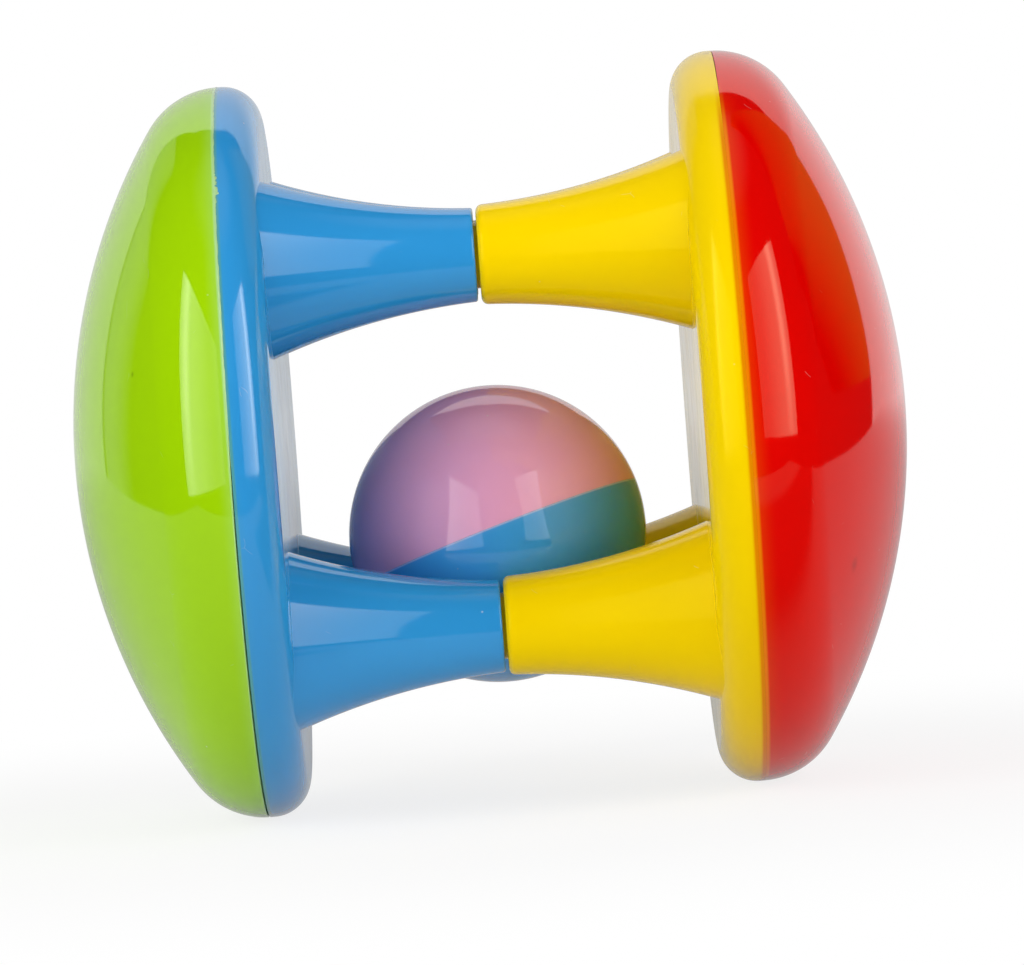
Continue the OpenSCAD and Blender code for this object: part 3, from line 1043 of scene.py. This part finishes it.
def makeSoftBoxMaterial(name, box):
    material, tree, surface = newMaterial(name)
    place = splitXyz(tree, coordinates(tree, "UV"))
    away = calc(tree, "ABSOLUTE", calc(tree, "SUBTRACT", place["X"], box["hotAt"]))
    wash = fade(tree, away, 0, box["washWidth"], box["wash"], 0)
    hot = fade(tree, away, 0, box["hotWidth"], box["hot"], 0)
    hot = calc(tree, "MULTIPLY", hot, fade(tree, place["Y"], 0, stage["hotFull"], stage["hotBase"], 1))
    glow = addNode(tree, "ShaderNodeEmission")
    feed(tree, glow.inputs["Strength"], calc(tree, "ADD", calc(tree, "ADD", hot, wash), box["glow"]))
    feed(tree, surface, glow.outputs[0])
    return material


def makeSoftBox(name, box):
    places = []
    for azimuth, elevation in box["corners"]:
        a, e = math.radians(azimuth), math.radians(elevation)
        towards = Vector((math.sin(a) * math.cos(e), -math.cos(a) * math.cos(e), math.sin(e)))
        places.append(toyCentre + towards * stage["softBoxAway"])
    count = stage["softBoxGrid"]
    verts, faces, spots = [], [], []
    for row in range(count + 1):
        for column in range(count + 1):
            u, v = column / count, row / count
            verts.append(places[0].lerp(places[1], u).lerp(places[3].lerp(places[2], u), v))
            spots.append((u, v))
    for row in range(count):
        for column in range(count):
            first = row * (count + 1) + column
            faces.append((first, first + 1, first + count + 2, first + count + 1))
    mesh = bpy.data.meshes.new(name)
    mesh.from_pydata(verts, [], faces)
    layer = mesh.uv_layers.new(name="panel")
    for loop in mesh.loops:
        layer.data[loop.index].uv = spots[loop.vertex_index]
    panel = addStage(name, mesh, makeSoftBoxMaterial(name, box))
    panel.visible_camera = False


def makeStage():
    side, front, back = stage["floorSide"], stage["floorFront"], stage["floorBack"]
    floorCorners = [(-side, front, 0), (side, front, 0), (side, back, 0), (-side, back, 0)]
    addSheet("floor", floorCorners, makeFloorMaterial())
    for name, sheet in backSheets.items():
        material = makeBackMaterial(name, {**plainSheet, **sheet})
        addSheet(name, [(x, back, z) for x, z in sheet["outline"]], material)
    for name, box in softBoxes.items():
        makeSoftBox(name, box)


def makeRoom():
    world = bpy.data.worlds.new("dimRoom")
    bpy.context.scene.world = world
    world.use_nodes = True
    tree = world.node_tree
    tree.nodes.clear()
    up = splitXyz(tree, coordinates(tree, "Generated"))["Z"]
    mirrored = fade(tree, up, stage["ceilingFrom"], 1, stage["room"], stage["ceiling"])
    ray = addNode(tree, "ShaderNodeLightPath").outputs
    dim, plainWhite = addNode(tree, "ShaderNodeBackground"), addNode(tree, "ShaderNodeBackground")
    for glow in (dim, plainWhite):
        glow.inputs["Color"].default_value = white
    feed(tree, dim.inputs["Strength"], fade(tree, ray["Is Glossy Ray"], 0, 1, stage["fill"], mirrored))
    blend = mixShader(tree, seenPlainly(tree, ray), dim, plainWhite)
    feed(tree, addNode(tree, "ShaderNodeOutputWorld").inputs["Surface"], blend.outputs[0])


makeStage()
makeRoom()
print("stage ready")


# Camera: the photograph's view

photoView = {
    "distance": 0.83833,             # camera to the toy's centre
    "yaw": -0.09, "pitch": 2.015, "roll": 4.253,
    "focalPixels": 6962.7,
    "toyPixel": (490.25, 434.04),    # where the toy's centre falls in the picture
    "imageSize": (1024, 965),
    "sensor": 36.0,
}


def placeCamera(view):
    yaw, pitch, roll = (math.radians(view[key]) for key in ("yaw", "pitch", "roll"))
    look = Vector((math.sin(yaw) * math.cos(pitch), math.cos(yaw) * math.cos(pitch), -math.sin(pitch)))
    level = look.cross(Vector((0, 0, 1))).normalized()
    right = math.cos(roll) * level - math.sin(roll) * level.cross(look)
    up = right.cross(look)
    width, height = view["imageSize"]
    aside = (width / 2 - view["toyPixel"][0]) / view["focalPixels"]
    below = (height / 2 - view["toyPixel"][1]) / view["focalPixels"]
    aim = (look + right * aside - up * below).normalized()
    right = (right - aim * right.dot(aim)).normalized()
    up = right.cross(aim)

    data = bpy.data.cameras.new("photoCamera")
    data.sensor_width = view["sensor"]
    data.lens = view["focalPixels"] * view["sensor"] / width
    camera = bpy.data.objects.new("photoCamera", data)
    bpy.context.scene.collection.objects.link(camera)
    turn = Matrix((right, up, -aim)).transposed().to_4x4()
    camera.matrix_world = Matrix.Translation(toyCentre - look * view["distance"]) @ turn
    bpy.context.scene.camera = camera


placeCamera(photoView)
bpy.context.scene.view_settings.view_transform = "Standard"
print("camera placed")

bpy.context.view_layer.update()
